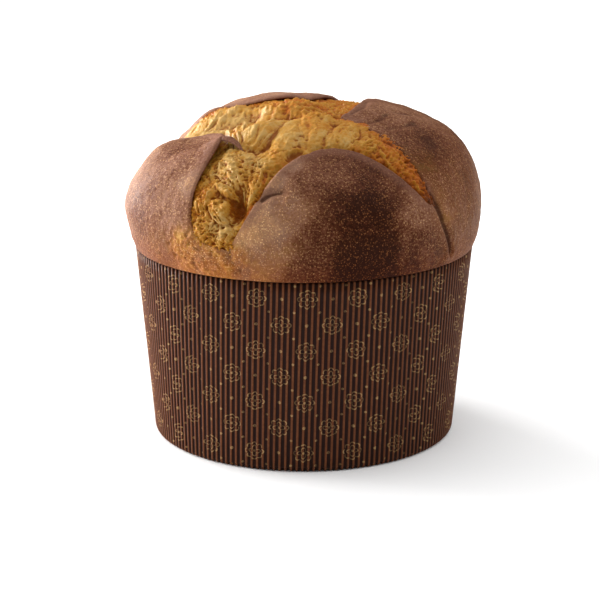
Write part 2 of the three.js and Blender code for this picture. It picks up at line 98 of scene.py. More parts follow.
# Creases pressed or pulled into the skin: chart points, half width, depth.
CREASES = [
    ([(-19, -72.5), (-14.5, -69.5), (-10, -69)], 1.9, 1.8),
    ([(-1.5, -47), (-7, -54), (-12, -61), (-14.5, -66)], 2.4, -1.4),
    ([(-7, -62), (-5.5, -69), (-7.5, -76)], 2.2, -1.1),
    ([(-1.5, -58), (-1, -66), (-3, -75)], 2.2, 0.8),
    ([(-14, -77), (-8, -78.5), (-2, -77)], 1.3, 0.5),
    ([(-16, -83), (-9, -84)], 1.2, 0.4),
    ([(58, -57), (67, -62), (77, -67), (87, -69.5), (100, -71)], 2.4, 2.6),
    ([(-44, -100), (-46, -108), (-43, -116)], 4.0, 1.0),
    ([(52, -53), (60, -66), (70, -74), (80, -79)], 1.6, 0.35),
    ([(-70, -82), (-64, -80), (-60, -77)], 1.3, 0.6),
    ([(-72, -88), (-66, -86), (-60, -84)], 1.2, 0.5),
    ([(22, -20), (27, -15), (30, -8)], 1.6, 0.9),
    ([(30, -22), (37, -17), (42, -9)], 1.8, 0.8),
    ([(16, -12), (20, -6), (22, 4)], 1.6, 1.0),
    ([(26, -2), (34, -4), (40, -2)], 1.8, 0.8),
]
# Line along which the skin is thin and golden, where the widest tear ends.
GOLD_BAND = [(-75, -84), (-66, -94), (-54, -103), (-45, -108)]
# Round dents: chart centre, width, depth.
DENTS = [((50.5, -21), 7.5, 1.0), ((44, -12), 5, 0.7), ((-72, -60), 9, 0.4)]
# Browning of the skin: chart point, radius, how far baked, how golden.
SKIN = [
    (-66, -47, 20, 0.60, 0.0), (-88, -70, 14, 0.70, 0.2), (-94, -44, 16, 0.74, 0.0),
    (-46, -26, 12, 0.66, 0.0), (-51, -50, 8, 0.10, 0.0), (-66, -92, 10, 0.30, 1.0),
    (-74, -100, 10, 0.32, 0.8), (-52, -106, 9, 0.32, 1.0), (-34, -114, 10, 0.42, 0.5),
    (-30, -94, 9, 0.06, 0.3), (-18, -88, 9, 0.14, 0.2), (-16, -112, 10, 0.50, 0.3),
    (-13, -62, 5, 0.10, 0.0), (-6, -52, 4, 0.25, 0.0), (-20, -74, 5, 0.22, 0.1),
    (-6, -82, 10, 0.42, 0.1), (-2, -122, 12, 0.80, 0.0), (8, -96, 11, 0.80, 0.0),
    (28, -82, 17, 1.02, 0.0), (42, -112, 15, 1.16, 0.0), (10, -62, 12, 0.76, 0.0),
    (28, -56, 9, 0.80, 0.0), (55, -72, 10, 0.60, 0.0), (70, -92, 13, 0.80, 0.0),
    (30, -8, 12, 0.58, 0.0), (50, -20, 11, 0.80, 0.0), (50, -40, 6, 0.94, 0.25),
    (76, -42, 14, 0.72, 0.1), (96, -58, 12, 0.64, 0.1), (76, -60, 7, 0.60, 0.4),
    (64, -56, 4, 0.68, 0.3), (-14, 14, 14, 0.42, 0.0), (-36, 10, 12, 0.42, 0.1),
    (4, 46, 22, 0.50, 0.0), (70, 20, 26, 0.68, 0.0), (-86, 22, 26, 0.40, 0.1),
    (-40, 90, 34, 0.50, 0.1), (60, 90, 34, 0.62, 0.1), (110, 20, 24, 0.52, 0.1),
]


def smooth(a, b, x):
    """S step: t = (x - a) / (b - a) held in 0..1, then t * t * (3 - 2 t)."""
    t = np.clip((x - a) / (b - a), 0, 1)
    return t * t * (3 - 2 * t)


def wrap(a):
    """Angle a less whole turns, in -pi..pi."""
    return a - TAU * np.round(a / TAU)


def by_azimuth(table, phi):
    """Value of a round table of (degrees, value) at phi, S steps between its rows."""
    az = np.array([row[0] for row in table] + [table[0][0] + 360.0])
    value = np.array([row[1] for row in table] + [table[0][1]])
    d = (np.degrees(phi) - az[0]) % 360 + az[0]
    i = np.clip(np.searchsorted(az, d, side="right") - 1, 0, len(az) - 2)
    return value[i] + (value[i + 1] - value[i]) * smooth(az[i], az[i + 1], d)


def dome(s):
    """Dome outline at share s from top to rim: r = R sin(t)^(2/n), z = Z + H cos(t)^(2/m)
    down to the belly with t = s / belly share * 90 degrees, then a parabola to the ledge;
    returns r, z and the outward normal."""
    rise = TOP_Z - BELLY_Z
    t = np.clip(s / BELLY_SHARE, 0, 1) * pi / 2
    k = np.clip((s - BELLY_SHARE) / (1 - BELLY_SHARE), 0, 1)
    low = s > BELLY_SHARE
    r = np.where(low, BELLY_R - (BELLY_R - LEDGE_R) * k ** 2,
                 BELLY_R * np.sin(t) ** (2 / ROUND_R))
    z = np.where(low, BELLY_Z - (BELLY_Z - LEDGE_Z) * k,
                 BELLY_Z + rise * np.cos(t) ** (2 / ROUND_Z))
    up = np.clip((z - BELLY_Z) / rise, 0, None)
    nr = np.where(low, BELLY_Z - LEDGE_Z, ROUND_R * (r / BELLY_R) ** (ROUND_R - 1) / BELLY_R)
    nz = np.where(low, -2 * (BELLY_R - LEDGE_R) * k, ROUND_Z * up ** (ROUND_Z - 1) / rise)
    size = np.hypot(nr, nz)
    return r, z, nr / size, nz / size


def place(q, off):
    """Chart point q = (u, v) and height off over the dome to (x, y, z): the polar map
    s = |q| / reach, then off along the normal, then a lift that tilts the top."""
    s = np.hypot(q[..., 0], q[..., 1]) / REACH
    th = np.arctan2(q[..., 1], q[..., 0])
    r, z, nr, nz = dome(s)
    x = (r + nr * off) * np.cos(th)
    y = (r + nr * off) * np.sin(th)
    lift = TILT * (x * cos(TILT_AZ) + y * sin(TILT_AZ)) * np.clip(1 - s * s, 0, 1)
    return np.stack([x, y, z + nz * off + lift], -1)


def edge_radius(phi):
    """Distance of the torn edge from the eye: the lobe's tip radius plus, for every cut,
    (reach - tip) / (1 + (|angle from cut| / half angle) ^ sharpness)."""
    az = np.radians([cut[0] for cut in CUTS])
    span = (np.roll(az, -1) - az) % TAU
    ahead = (np.asarray(phi)[..., None] - az) % TAU
    k = np.argmin(ahead, axis=-1)
    share = np.take_along_axis(ahead, k[..., None], -1)[..., 0] / span[k]
    start, end = np.array(LOBE_TIPS, float).T
    tip = start[k] + (end[k] - start[k]) * smooth(0, 1, share)
    rho = tip.copy()
    for angle, reach, before, after, sharp_before, sharp_after in CUTS:
        d = wrap(phi - radians(angle))
        half = np.where(d < 0, radians(before), radians(after))
        sharp = np.where(d < 0, sharp_before, sharp_after)
        rho += (reach - tip) / (1 + (np.abs(d) / half) ** sharp)
    return rho


def around_eye(q):
    """Distance and azimuth of chart points from the eye."""
    w = q - EYE
    return np.hypot(w[..., 0], w[..., 1]), np.arctan2(w[..., 1], w[..., 0])


def swell(q):
    """Height of the swollen crust over the dome: a round table by azimuth, blended to one
    height at the eye, dying away towards the rim, plus broad round bulges."""
    far, phi = around_eye(q)
    k = smooth(0, SWELL_EYE_R, far)
    high = by_azimuth(SWELL, phi) * k + SWELL_EYE * (1 - k)
    s = np.hypot(q[..., 0], q[..., 1]) / REACH
    bulge = sum(h * np.exp(-(np.hypot(q[..., 0] - at[0], q[..., 1] - at[1]) / wide) ** 2)
                for at, wide, h in BULGES)
    return high * (1 - smooth(*SWELL_END, s)) + bulge * (1 - smooth(*BULGE_END, s))


# A walk once round the eye along the torn edge, from the first cut, and lengths along it.
WALK_STEPS = 6000
WALK = np.linspace(0, TAU, WALK_STEPS + 1) + radians(CUTS[0][0])
WALK_RHO = edge_radius(WALK)
EDGE = EYE + np.stack([WALK_RHO * np.cos(WALK), WALK_RHO * np.sin(WALK)], -1)
EDGE_AT = np.concatenate([[0], np.cumsum(np.hypot(*np.diff(EDGE, axis=0).T))])
MARKS = EDGE[::6]                    # points near enough together to measure distances to
AT_A_TIME = 4000                     # points measured in one array, to spare memory


def on_edge(a):
    """Point of the torn edge at length a along it, by interpolation of the walk."""
    a = a % EDGE_AT[-1]
    return np.stack([np.interp(a, EDGE_AT, EDGE[:, 0]), np.interp(a, EDGE_AT, EDGE[:, 1])], -1)


def rim_azimuth(a):
    """Rim azimuth of a column: the cut ends keep theirs, between them by edge length."""
    az0 = radians(CUTS[0][0])
    ends = [EYE + cut[1] * np.array([cos(radians(cut[0])), sin(radians(cut[0]))]) for cut in CUTS]
    az = [atan2(p[1], p[0]) for p in ends]
    at = [np.interp(az0 + (radians(cut[0]) - az0) % TAU, WALK, EDGE_AT) for cut in CUTS]
    turns = np.concatenate([[0], np.cumsum(np.diff(az + az[:1]) % TAU)])
    return np.interp(a, at + [EDGE_AT[-1]], az[0] + turns)


def edge_distance(q):
    """Distance from chart points to the torn edge, positive on the crust side."""
    far, phi = around_eye(q)
    near = np.concatenate([
        np.hypot(part[:, None, 0] - MARKS[:, 0], part[:, None, 1] - MARKS[:, 1]).min(1)
        for part in np.array_split(q.reshape(-1, 2), max(1, far.size // AT_A_TIME))
    ]).reshape(far.shape)
    return np.where(far > edge_radius(phi), near, -near)


def line_distance(q, points):
    """Distance from chart points to a chain of straight pieces."""
    near = np.full(q.shape[:-1], 1e9)
    for a, b in zip(np.array(points[:-1], float), np.array(points[1:], float)):
        t = np.clip(((q - a) @ (b - a)) / ((b - a) @ (b - a)), 0, 1)
        gap = q - a - t[..., None] * (b - a)
        near = np.minimum(near, np.hypot(gap[..., 0], gap[..., 1]))
    return near


LATTICE = np.random.default_rng(11).random((64, 64, 64))


def noise(p, size):
    """Value noise in -1..1 with features of the given size: random values on a lattice,
    blended by S steps along the three axes."""
    g = p / size + 31.7
    i = np.floor(g).astype(int)
    f = g - i
    f = f * f * (3 - 2 * f)
    total = 0
    for corner in np.ndindex(2, 2, 2):
        at = (i + corner) % 64
        weight = np.prod(np.where(np.array(corner) == 1, f, 1 - f), -1)
        total = total + LATTICE[at[..., 0], at[..., 1], at[..., 2]] * weight
    return total * 2 - 1


def patches(q, table):
    """Values of a table of (u, v, radius, value, ...) spread over chart points: the mean of
    all rows weighted by 1 / (0.3 + (distance / radius)^2)^2."""
    rows = np.array(table, float)
    weight = [1 / (0.3 + ((q[..., 0] - u) ** 2 + (q[..., 1] - v) ** 2) / r ** 2) ** 2
              for u, v, r in rows[:, :3]]
    total = sum(weight)
    return [sum(w * x for w, x in zip(weight, column)) / total for column in rows[:, 3:].T]


def new_mesh(name, points, quads, chart, **values):
    """Mesh piece from points in millimetres, quads, a flat map in millimetres as its UV map,
    and named values on its points."""
    mesh = bpy.data.meshes.new(name)
    mesh.vertices.add(len(points))
    mesh.vertices.foreach_set("co", (points * MM).astype(np.float32).ravel())
    mesh.loops.add(quads.size)
    mesh.loops.foreach_set("vertex_index", quads.astype(np.int32).ravel())
    mesh.polygons.add(len(quads))
    mesh.polygons.foreach_set("loop_start", np.arange(0, quads.size, 4, dtype=np.int32))
    mesh.polygons.foreach_set("use_smooth", np.ones(len(quads), bool))
    mesh.update(calc_edges=True)
    uv = mesh.uv_layers.new(name="chart")
    uv.uv.foreach_set("vector", chart.reshape(-1, 2)[quads.ravel()].astype(np.float32).ravel())
    for key, value in values.items():
        layer = mesh.attributes.new(key, "FLOAT", "POINT")
        layer.data.foreach_set("value", value.astype(np.float32).ravel())
    piece = bpy.data.objects.new(name, mesh)
    bpy.context.scene.collection.objects.link(piece)
    return piece


def round_grid(rows, columns, both):
    """Quads of a grid whose columns close round: row k, column c to the next of both. The
    last row, or both end rows, close in a pole: one more point, joined to two columns at a
    time."""
    k, c = np.meshgrid(np.arange(rows - 1), np.arange(columns), indexing="ij")
    n = (c + 1) % columns
    quads = np.stack([k * columns + c, k * columns + n, (k + 1) * columns + n,
                      (k + 1) * columns + c], -1).reshape(-1, 4)
    two = np.arange(0, columns, 2)
    ring = np.stack([two, two + 1, (two + 2) % columns, np.zeros_like(two)], -1)
    end = ring + (rows - 1) * columns
    end[:, 3] = rows * columns
    start = ring[:, ::-1].copy()
    start[:, 0] = rows * columns + 1
    return np.concatenate([quads, end, start] if both else [quads, end])


def with_poles(grid, both):
    """Grid of values as one list, followed by the mean of its last row, or of both ends."""
    ends = [grid[-1], grid[0]] if both else [grid[-1]]
    return np.concatenate([grid.reshape((-1,) + grid.shape[2:])]
                          + [row.mean(0, keepdims=True) for row in ends])


def new_round_mesh(name, points, chart, both=False, turned=False, **values):
    """Mesh piece from a grid of points that closes round and in one pole or both; turned,
    its quads face the other way."""
    quads = round_grid(*points.shape[:2], both)
    return new_mesh(name, with_poles(points, both), quads[:, ::-1] if turned else quads,
                    with_poles(chart, both),
                    **{key: with_poles(value, both) for key, value in values.items()})


def skin_values(q):
    """Browning and gold of the skin at chart points: the table, and full gold along the
    band where the widest tear ends, fading 5 to 19 mm off it."""
    bake, gold = patches(q, SKIN)
    band = 1 - smooth(5, 19, line_distance(q, GOLD_BAND))
    return bake, np.maximum(gold, band)


def crust_relief(p, q, d):
    """Fine height of the baked skin at points p, chart points q, d from the torn edge:
    broad dents of 26 and 9 mm, small blisters of 3.2 and 1.7 mm, clots and pits of 2.6 and
    1.8 mm where the skin is golden, creases as bell shaped grooves exp(-(distance / width)^2)
    with a low bank on both sides, and round dents of the same shape."""
    high = (0.6 * noise(p, 26) + 0.3 * noise(p + 40, 9)) * smooth(0, 10, d)
    rough = skin_values(q)[1]
    high += 0.3 * np.abs(noise(p + 80, 3.2)) + 0.12 * noise(p + 120, 1.7)
    high += 0.6 * rough * (0.4 - 1.6 * np.minimum(np.abs(noise(p, 2.6)), 0.5)
                           - smooth(0.2, 0.7, noise(p + 60, 1.8)))
    for points, wide, deep in CREASES:
        x = line_distance(q, points) / wide
        high += deep * (0.35 * np.exp(-(x / 2.2) ** 2) - np.exp(-x * x))
    for at, wide, deep in DENTS:
        x = np.hypot(q[..., 0] - at[0], q[..., 1] - at[1]) / wide
        high -= deep * np.exp(-x * x)
    return high


def build_crust():
    """Columns run off the torn edge, square to its general run, and reach the rim square
    on, along a cubic in the chart; at the edge a half circle of the crust's thickness
    rounds the lip, and the underside follows inward. Below the rim the body of the loaf
    goes on down to the bottom of the cup. Returns the piece."""
    a = np.arange(CRUST_COLUMNS) / CRUST_COLUMNS * EDGE_AT[-1]
    q = on_edge(a)

    def outward(window):
        run = on_edge(a + window) - on_edge(a - window)
        run /= np.hypot(run[:, 0], run[:, 1])[:, None]
        return np.stack([run[:, 1], -run[:, 0]], -1)

    out = outward(LIP_RUN)
    az = rim_azimuth(a)
    rim = REACH * np.stack([np.cos(az), np.sin(az)], -1)
    span = np.hypot(*(rim - q).T)[:, None]
    phi = around_eye(q)[1]
    lip, under = by_azimuth(LIP, phi), by_azimuth(UNDERCUT, phi)
    start = q + out * CRUST / 2
    c1 = start + outward(COLUMN_RUN) * np.minimum(EDGE_PULL[0] * span, EDGE_PULL[1])
    c2 = rim * (1 - np.minimum(RIM_PULL[0] * span, RIM_PULL[1]) / REACH)

    def top(p):
        d = np.hypot(p[..., 0] - q[:, 0], p[..., 1] - q[:, 1])
        return swell(p) + lip * np.exp(-(d / LIP_WIDTH) ** 2), d

    t = (np.linspace(0, 1, OUTER_ROWS) ** ROW_SPREAD)[:, None, None]
    p = start * (1 - t) ** 3 + 3 * c1 * t * (1 - t) ** 2 + 3 * c2 * t * t * (1 - t) + rim * t ** 3
    high, d = top(p)
    relief = crust_relief(place(p, high), p, d)
    relief *= 1 - RIM_CALM * smooth(RIM_CALM_FROM, 1.0, t[..., 0])
    outer = place(p, high + relief)
    unit = rim / REACH
    below_rim = [np.concatenate([unit * r, np.full((CRUST_COLUMNS, 1), z)], -1)[None]
                 for r, z in BELOW]
    edge_high = high[0] + relief[0]
    b = (pi / 2 + pi * np.arange(1, NOSE_ROWS + 1) / NOSE_ROWS)[::-1, None]
    nose_q = q + out * (CRUST / 2 * (1 + np.cos(b)))[..., None]
    nose = place(nose_q, edge_high + CRUST / 2 * (np.sin(b) - 1))
    inner = []
    for share in INNER_SHARES:
        deep = start + out * ((under + CRUST) * share)[:, None]
        inner.append(place(deep, np.minimum(top(deep)[0], edge_high) - CRUST)[None])
    points = np.concatenate(inner + [nose, outer] + below_rim)
    rows = len(points)
    first = rows - OUTER_ROWS - len(below_rim)
    edge = np.zeros(points.shape[:2])
    edge[first:first + OUTER_ROWS] = d
    edge[first + OUTER_ROWS:] = FAR_IN
    grown = by_azimuth(GROWN, phi)
    edge += GROWN_IN * grown
    below = np.zeros(points.shape[:2])
    below[:first - NOSE_ROWS // 2] = 1 - grown
    chart = np.broadcast_to(q, (rows,) + q.shape).copy()
    chart[first:first + OUTER_ROWS] = p
    chart[first + OUTER_ROWS:] = rim
    bake, gold = skin_values(chart)
    for share, seed, size in BAKE_CLOUDS:
        bake = bake + share * noise(points + seed, size)
    # Painted shade: how far the relief sinks below the skin, passed to the material to darken
    # creases, pits and dents.
    crease = np.zeros(points.shape[:2])
    crease[first:first + OUTER_ROWS] = np.clip(-relief - 0.1, 0, 1.2)
    low = smooth(*LOW_Z, points[..., 2])
    return new_round_mesh("crust", points, chart, bake=bake, gold=gold, edge=edge, below=below,
                          crease=crease, low=low)


def feed(tree, node, inputs):
    """Gives every named input of a node its value or another node's output."""
    for key, value in inputs.items():
        if isinstance(value, bpy.types.NodeSocket):
            tree.links.new(value, node.inputs[key])
        else:
            node.inputs[key].default_value = value


def shade(tree, kind, inputs, **settings):
    """New shader node with its settings and its inputs."""
    node = tree.nodes.new(kind)
    for key, value in settings.items():
        setattr(node, key, value)
    feed(tree, node, inputs)
    return node


def rgb(red, green, blue):
    """Colour of 0..255 screen values as linear light: ((c + 0.055) / 1.055) ^ 2.4."""
    return tuple(((c / 255 + 0.055) / 1.055) ** 2.4 for c in (red, green, blue)) + (1.0,)


def blend(tree, factor, a, b, way="MIX"):
    """Colour a turned into b by the factor, in the given way of mixing."""
    node = shade(tree, "ShaderNodeMix", {0: factor, 6: a, 7: b}, data_type="RGBA", blend_type=way)
    return node.outputs[2]


def reach(tree, value, low, high, to_low=0.0, to_high=1.0):
    """Value carried from low..high to other ends by an S step, held at the ends."""
    node = shade(tree, "ShaderNodeMapRange", {"Value": value, "From Min": low, "From Max": high,
                                              "To Min": to_low, "To Max": to_high},
                 interpolation_type="SMOOTHSTEP")
    return node.outputs["Result"]


def sums(tree, way, a, b=0.0, c=0.0):
    """One sum of one, two or three values."""
    return shade(tree, "ShaderNodeMath", {0: a, 1: b, 2: c}, operation=way).outputs[0]


def colours(tree, value, stops):
    """Colour by value from a list of (place, colour)."""
    node = shade(tree, "ShaderNodeValToRGB", {0: value})
    marks = node.color_ramp.elements
    for i, (at, colour) in enumerate(stops):
        mark = marks[i] if i < 2 else marks.new(at)
        mark.position, mark.color = at, colour
    return node.outputs[0]


def named(tree, name):
    """Named value of the mesh's points."""
    return shade(tree, "ShaderNodeAttribute", {}, attribute_name=name).outputs["Fac"]


def object_space(tree):
    """Places in the piece's own space, in metres."""
    return shade(tree, "ShaderNodeTexCoord", {}).outputs["Object"]


def cloud_noise(tree, scale, detail, roughness):
    """Soft noise in object space, about 0.5, with so many features a metre."""
    node = shade(tree, "ShaderNodeTexNoise", {"Vector": object_space(tree), "Scale": scale,
                                              "Detail": detail, "Roughness": roughness})
    return node.outputs["Fac"]


def bumps(tree, height, strength, far):
    """Normal that follows a height, at a strength and a depth in metres."""
    node = shade(tree, "ShaderNodeBump", {"Height": height, "Strength": strength,
                                          "Distance": far})
    return node.outputs["Normal"]


def new_material(name):
    """Empty material with one surface node; returns the material, its tree and the node."""
    material = bpy.data.materials.new(name)
    material.use_nodes = True
    return material, material.node_tree, material.node_tree.nodes["Principled BSDF"]


def grain_group():
    """Group of the fine grain that all baked dough here has, in object space: pale specks
    as the cores of cells, many tiny and a few large, and a soft grain of 1 mm."""
    tree = bpy.data.node_groups.new("baked grain", "ShaderNodeTree")
    tree.interface.new_socket("Spacing", in_out="INPUT", socket_type="NodeSocketFloat")
    tree.interface.new_socket("Specks", in_out="OUTPUT", socket_type="NodeSocketFloat")
    tree.interface.new_socket("Grain", in_out="OUTPUT", socket_type="NodeSocketFloat")
    into, out = tree.nodes.new("NodeGroupInput"), tree.nodes.new("NodeGroupOutput")
    per_metre = sums(tree, "DIVIDE", 1.0, into.outputs["Spacing"])
    cells = shade(tree, "ShaderNodeTexVoronoi", {"Vector": object_space(tree),
                                                 "Scale": per_metre})
    tint = shade(tree, "ShaderNodeSeparateColor", {0: cells.outputs["Color"]})
    size = sums(tree, "MULTIPLY_ADD", tint.outputs[0], 0.55, -0.04)
    gap = sums(tree, "SUBTRACT", size, cells.outputs["Distance"])
    specks = sums(tree, "MULTIPLY", reach(tree, gap, -0.12, 0.12),
                  sums(tree, "MULTIPLY_ADD", tint.outputs[1], 0.75, 0.25))
    feed(tree, out, {"Specks": specks, "Grain": cloud_noise(tree, 900.0, 3.0, 0.6)})
    return tree


GRAIN = grain_group()
CRUST_SPECKS = 0.00072               # spacing of the pale specks in metres


def crust_material():
    """Baked skin: colour by how far it is baked, from tan over pinkish brown to nearly
    black, golden where it is thin, dotted with pale specks, smoother and greyer along the
    torn edge, with painted shade in its creases, pits and dents and on the underside of
    the curled tip."""
    material, tree, surface = new_material("baked crust")
    grain = shade(tree, "ShaderNodeGroup", {"Spacing": CRUST_SPECKS}, node_tree=GRAIN)
    cloud = cloud_noise(tree, 130.0, 5.0, 0.62)
    bake = named(tree, "bake")
    wave = sums(tree, "MULTIPLY_ADD", cloud, 0.36, -0.18)
    fine = sums(tree, "MULTIPLY_ADD", grain.outputs["Grain"], 0.8, -0.4)
    bake = sums(tree, "ADD", sums(tree, "ADD", bake, wave), fine)
    skin = colours(tree, bake, [
        (0.0, rgb(190, 142, 98)), (1.0, rgb(46, 19, 7)), (0.3, rgb(144, 108, 88)),
        (0.5, rgb(134, 93, 71)), (0.68, rgb(104, 62, 42)), (0.85, rgb(74, 36, 19)),
    ])
    thin = sums(tree, "MULTIPLY", named(tree, "gold"), reach(tree, cloud, 0.3, 0.6, 0.6, 1.0))
    golden = colours(tree, sums(tree, "MULTIPLY_ADD", grain.outputs["Grain"], 0.6, cloud), [
        (0.55, rgb(104, 56, 20)), (1.0, rgb(176, 130, 66)), (0.75, rgb(146, 87, 34)),
    ])
    skin = blend(tree, thin, skin, golden)
    edge = named(tree, "edge")
    lip = reach(tree, edge, 7.0, 1.5, 0.0, 0.5)
    skin = blend(tree, lip, skin, rgb(122, 84, 68))
    dots = sums(tree, "MULTIPLY", grain.outputs["Specks"],
                reach(tree, edge, 2.0, 9.0, 0.25, 0.85))
    pale = blend(tree, bake, rgb(250, 206, 148), rgb(140, 84, 44))
    skin = blend(tree, dots, skin, pale)
    # Painted shade: the skin is darkened where its relief sinks and on the underside of the
    # curled tip.
    painted_shade = reach(tree, named(tree, "crease"), 0.15, 1.0, 0.0, 0.75)
    skin = blend(tree, painted_shade, skin, rgb(52, 24, 14))
    skin = blend(tree, named(tree, "low"), skin, rgb(250, 228, 206), "MULTIPLY")
    skin = blend(tree, named(tree, "below"), skin, rgb(96, 52, 26))
    rough = sums(tree, "MULTIPLY_ADD", grain.outputs["Specks"], 0.5, grain.outputs["Grain"])
    feed(tree, surface, {"Base Color": skin, "Specular IOR Level": 0.05,
                         "Roughness": reach(tree, bake, 0.2, 1.0, 0.62, 0.5),
                         "Normal": bumps(tree, rough, 0.7, 0.0005)})
    return material


crust = build_crust()
crust.data.materials.append(crust_material())
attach(crust, "root")
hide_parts("loaf")

# Curled tip
# A tongue of the same baked skin at the tip of the left lobe. It tore loose beside the
# widest opening, dried in the oven and curled over.
CURL_STEPS, CURL_SIDES, CURL_ROUNDING = 48, 20, 6
CURL_HALF_WIDTH, CURL_HALF_THICK = 1.9, 0.6
# Its middle line: chart point and height over the crust.
CURL_LINE = [(-44, -22, -1.5), (-37, -23, 0.3), (-31.5, -25, 1.6), (-27.5, -28, 2.0),
             (-25, -31.5, 1.6), (-23.5, -35.5, 0.4)]
CURL_SIZES = (1.6, 0.7)              # of the section, from root to end
CURL_ENDS = (0.02, 0.99)             # where the section starts and stops on its half wave
CURL_BEND, CURL_BEND_SIZE = 0.3, 3
CURL_BAKE, CURL_EDGE, CURL_SHADOW = 0.66, 3.0, 0.25    # as told to the material


def build_curl():
    """A flat oval section swept along the rounded middle line, its size the square root of
    half a sine wave times a taper, then bent a little by noise of 3 mm."""
    path = np.array(CURL_LINE)
    t = np.linspace(0, len(path) - 1, CURL_STEPS)
    chart = np.stack([np.interp(t, np.arange(len(path)), path[:, k]) for k in range(3)], -1)
    for _ in range(CURL_ROUNDING):
        chart[1:-1] = (chart[:-2] + 2 * chart[1:-1] + chart[2:]) / 4
    high = swell(chart[:, :2]) + chart[:, 2]
    line = place(chart[:, :2], high)
    along = np.gradient(line, axis=0)
    along /= np.linalg.norm(along, axis=1)[:, None]
    up = place(chart[:, :2], high + 1) - line
    side = np.cross(along, up)
    side /= np.linalg.norm(side, axis=1)[:, None]
    wave = np.sin(np.linspace(*CURL_ENDS, CURL_STEPS) * pi)
    size = (wave ** 0.5 * np.linspace(*CURL_SIZES, CURL_STEPS))[:, None]
    b = np.arange(CURL_SIDES) / CURL_SIDES * TAU
    across = side[:, None] * (CURL_HALF_WIDTH * size * np.cos(b))[..., None]
    over = np.cross(side, along)[:, None] * (CURL_HALF_THICK * size * np.sin(b))[..., None]
    points = line[:, None] + across + over
    points += CURL_BEND * noise(points, CURL_BEND_SIZE)[..., None] * up[:, None]
    shape = points.shape[:2]
    return new_round_mesh("curled_tip", points,
                          np.broadcast_to(chart[:, None, :2], shape + (2,)), both=True,
                          turned=True, bake=np.full(shape, CURL_BAKE), gold=np.zeros(shape),
                          edge=np.full(shape, CURL_EDGE), below=np.zeros(shape),
                          crease=CURL_SHADOW * np.broadcast_to(np.sin(b) < -0.2, shape))


curl = build_curl()
curl.data.materials.append(crust.data.materials[0])
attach(curl, "root")
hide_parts("loaf")

# Crumb
# The inside of the loaf where it swelled up through the cuts: soft yellow dough pulled into
# long stretched folds, full of pores, toasted where it met the oven's heat, with a hollow
# torn in the widest opening. It runs on under the crust.
SINK, CLOSE_WIDTH = 3.2, 4.0         # depth under closed crust, and the run down to it
# Drop of the crumb below the crust at the torn edge, round the eye by azimuth.
DROP = [(10, 1.8), (60, 2.4), (100, 1.0), (111, 1.2), (118, 2.2), (126, 1.0), (146, 0.5),
        (153, -0.6), (160, -0.4), (170, 2.0), (190, 3.2), (203, 4.4), (211, 2.8), (219, 1.6),
        (227, 0.9), (241, 0.9), (246, 1.2), (252, 2.2), (262, 2.6), (290, 3.6), (310, 2.6),
        (322, 0.8), (330, 0.3), (345, 0.5)]
INNER_DROP, DROP_WIDTH = 1.2, 9.0    # the same further in, and the run between them
# Folds: chart centre, half length, half width, turn, height, streaks.
FOLDS = [
    ((-15, -17), 19, 9.5, 66, 5.2, 0.35),
    ((-24, -17), 17, 8, 84, 4.2, 0.45),
    ((-38, -2), 21, 13, 25, 3.4, 0.25),
    ((-60, 4), 16, 10, 10, 1.6, 0.25),
    ((-6, -29), 17, 6, 72, 4.6, 0.15),
    ((3, -23), 17, 7.5, 84, 4.0, 0.15),
    ((13, -30), 11, 7, 75, 3.8, 0.3),
    ((22, -36), 9, 6.5, 50, 3.0, 0.35),
    ((-11, -44), 15, 9, 35, 3.4, 0.25),
    ((-27, -46), 16, 9.5, 95, 3.8, 0.3),
    ((-1, -5), 14, 9, 12, 2.8, 0.3),
    ((16, -12), 12, 9, -20, 1.2, 0.3),
    ((8, 14), 18, 11, 70, 0.8, 0.3),
    ((22, 44), 24, 10, 68, 1.4, 0.3),
    ((-40, -73), 10, 6.5, 100, 4.2, 0.35),
    ((-43, -92), 9, 5.5, 55, 2.2, 0.3),
    ((-56, -80), 16, 7, 40, 1.6, 0.3),
    ((-22, -63), 17, 5, 66, 3.0, 0.6),
    ((-45, -60), 13, 5, 55, 2.0, 0.5),
    ((-34, -59), 9, 3.4, 125, 3.0, 0.2),
    ((33, -40), 14, 6.5, -42, 2.2, 0.3),
    ((52, -54), 18, 5.5, -35, 1.8, 0.3),
]
# Hollows: chart centre, half length, half width, turn, depth.
HOLLOWS = [((-31, -73), 16, 7, 68, 7.5), ((-4, -43), 6, 3, 45, 4.0)]
NUGGET = ((-41, -72), 9, 6, 70)      # lump that stands in the first hollow
FAN, FAN_END = 0.035, 18             # streaks spread by this share a millimetre, up to there
STREAKS = [(11, 1.3, 1.0), (6, 0.7, 0.6)]      # length, width and share of drawn out streaks
# Height of the streaks, and how far their grooves are browned and their ridges paled as painted
# shade and highlight.
STREAK_HEIGHT, STREAK_SHADE = 2.4, 0.6
SEAM_RISE, SEAM_WIDTH = 0.2, 0.5     # rounding where two folds meet
# Bends of the folds' outlines: how far, size, and a seed for each direction.
BENDS = [(1.6, 11, 0, 50), (0.35, 3, 90, 140)]
# Strands of the grain: share, seed, size and steepness; and how far their space is bent, in
# what size and with which seed along each axis.
STRANDS = [(1.0, 0, 2.6, 2.4), (0.75, 33, 1.35, 2.2)]
STRAND_BEND, STRAND_BEND_SIZE, STRAND_BEND_SEEDS = 1.6, 3.4, (200, 240, 280)
CRUMB_U, CRUMB_V, CRUMB_CELL = (-100, 100), (-112, 92), 0.37
CRUMB_MARGIN, CRUMB_BORDER = 12, 4.5           # worked out and kept, beyond the torn edge
NEAR_CELLS, WIDE_CELLS = 3, 11                 # surroundings that a deep point is below
